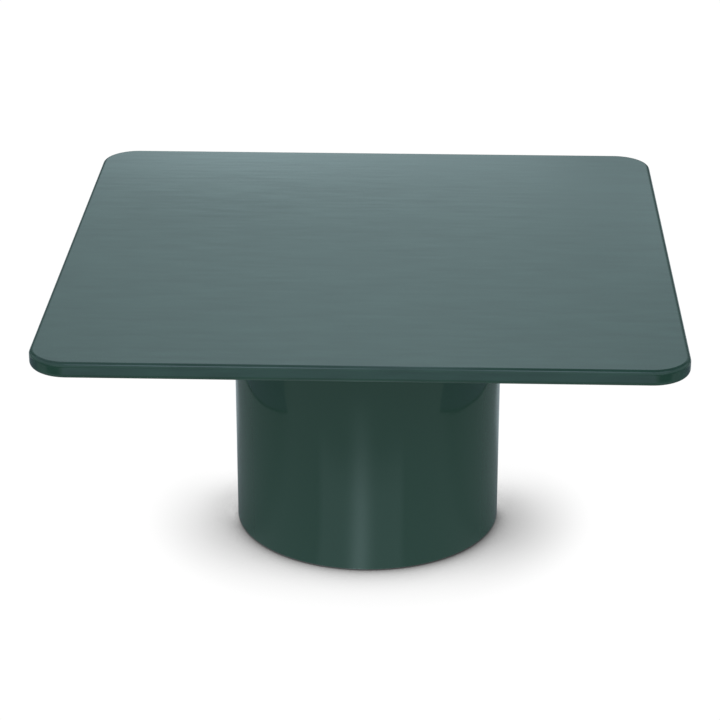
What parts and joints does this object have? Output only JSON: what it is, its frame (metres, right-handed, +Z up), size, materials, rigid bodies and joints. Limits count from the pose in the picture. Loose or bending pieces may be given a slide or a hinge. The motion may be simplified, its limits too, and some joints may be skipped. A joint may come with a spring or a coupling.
{
  "type": "coffee table",
  "caption": "Low square pedestal table with a thin, round-cornered lacquered top on a round hollow drum, weighted at the base and standing on screw levelling feet.",
  "frame": {"origin": "on the floor, under the centre of the table", "axes": "+Z up through the drum's axis; +X and +Y parallel to the sides of the square top; -Y is the front"},
  "size_m": [0.914, 0.914, 0.446],
  "materials": {
    "lacquer_top": "gloss",
    "lacquer_drum": "gloss",
    "felt": "matte",
    "plywood": "satin",
    "beech": "satin",
    "hardboard": "matte",
    "ballast_iron": "matte",
    "zinc_steel": "satin",
    "black_steel": "satin",
    "nylon": "matte"
  },
  "bodies": {
    "table": {"tabletop": "lacquer_top", "tabletop_inserts": "zinc_steel", "felt_gasket": "felt", "drum_shell": "lacquer_drum", "top_bulkhead": "plywood", "middle_bulkhead": "plywood", "bottom_bulkhead": "plywood", "rib_1": "plywood", "rib_2": "plywood", "rib_3": "plywood", "rib_4": "plywood", "rib_5": "plywood", "rib_6": "plywood", "rib_screws_top": "zinc_steel", "rib_screws_bottom": "zinc_steel", "top_bolts": "black_steel", "top_bolt_washers": "zinc_steel", "top_bolt_spring_washers": "zinc_steel", "locating_dowels": "beech", "ballast_ring": "ballast_iron", "ballast_bolts": "zinc_steel", "ballast_washers": "zinc_steel", "ballast_nuts": "zinc_steel", "access_cover": "hardboard", "access_cover_screws": "black_steel", "foot_inserts": "zinc_steel"},
    "foot_1_pad": {"foot_pad_1": "nylon"},
    "foot_2_pad": {"foot_pad_2": "nylon"},
    "foot_3_pad": {"foot_pad_3": "nylon"},
    "foot_4_pad": {"foot_pad_4": "nylon"},
    "foot_1_stud": {"foot_stud_1": "zinc_steel"},
    "foot_2_stud": {"foot_stud_2": "zinc_steel"},
    "foot_3_stud": {"foot_stud_3": "zinc_steel"},
    "foot_4_stud": {"foot_stud_4": "zinc_steel"}
  },
  "joints": [
    {"name": "foot_1_travel", "type": "slide", "parent": "table", "child": "foot_1_pad", "axis": [0, 0, -1], "range_m": [0, 0.01]},
    {"name": "foot_1_turn", "type": "hinge", "parent": "foot_1_pad", "child": "foot_1_stud", "pos_m": [0.12445, 0.12445, 0.007], "axis": [0, 0, -1], "range_deg": [0, 2880]},
    {"name": "foot_2_travel", "type": "slide", "parent": "table", "child": "foot_2_pad", "axis": [0, 0, -1], "range_m": [0, 0.01]},
    {"name": "foot_2_turn", "type": "hinge", "parent": "foot_2_pad", "child": "foot_2_stud", "pos_m": [-0.12445, 0.12445, 0.007], "axis": [0, 0, -1], "range_deg": [0, 2880]},
    {"name": "foot_3_travel", "type": "slide", "parent": "table", "child": "foot_3_pad", "axis": [0, 0, -1], "range_m": [0, 0.01]},
    {"name": "foot_3_turn", "type": "hinge", "parent": "foot_3_pad", "child": "foot_3_stud", "pos_m": [-0.12445, -0.12445, 0.007], "axis": [0, 0, -1], "range_deg": [0, 2880]},
    {"name": "foot_4_travel", "type": "slide", "parent": "table", "child": "foot_4_pad", "axis": [0, 0, -1], "range_m": [0, 0.01]},
    {"name": "foot_4_turn", "type": "hinge", "parent": "foot_4_pad", "child": "foot_4_stud", "pos_m": [0.12445, -0.12445, 0.007], "axis": [0, 0, -1], "range_deg": [0, 2880]}
  ],
  "couplings": [
    {"joint": "foot_1_turn", "follows": "foot_1_travel", "rad_per_m": 5026.5},
    {"joint": "foot_2_turn", "follows": "foot_2_travel", "rad_per_m": 5026.5},
    {"joint": "foot_3_turn", "follows": "foot_3_travel", "rad_per_m": 5026.5},
    {"joint": "foot_4_turn", "follows": "foot_4_travel", "rad_per_m": 5026.5}
  ]
}
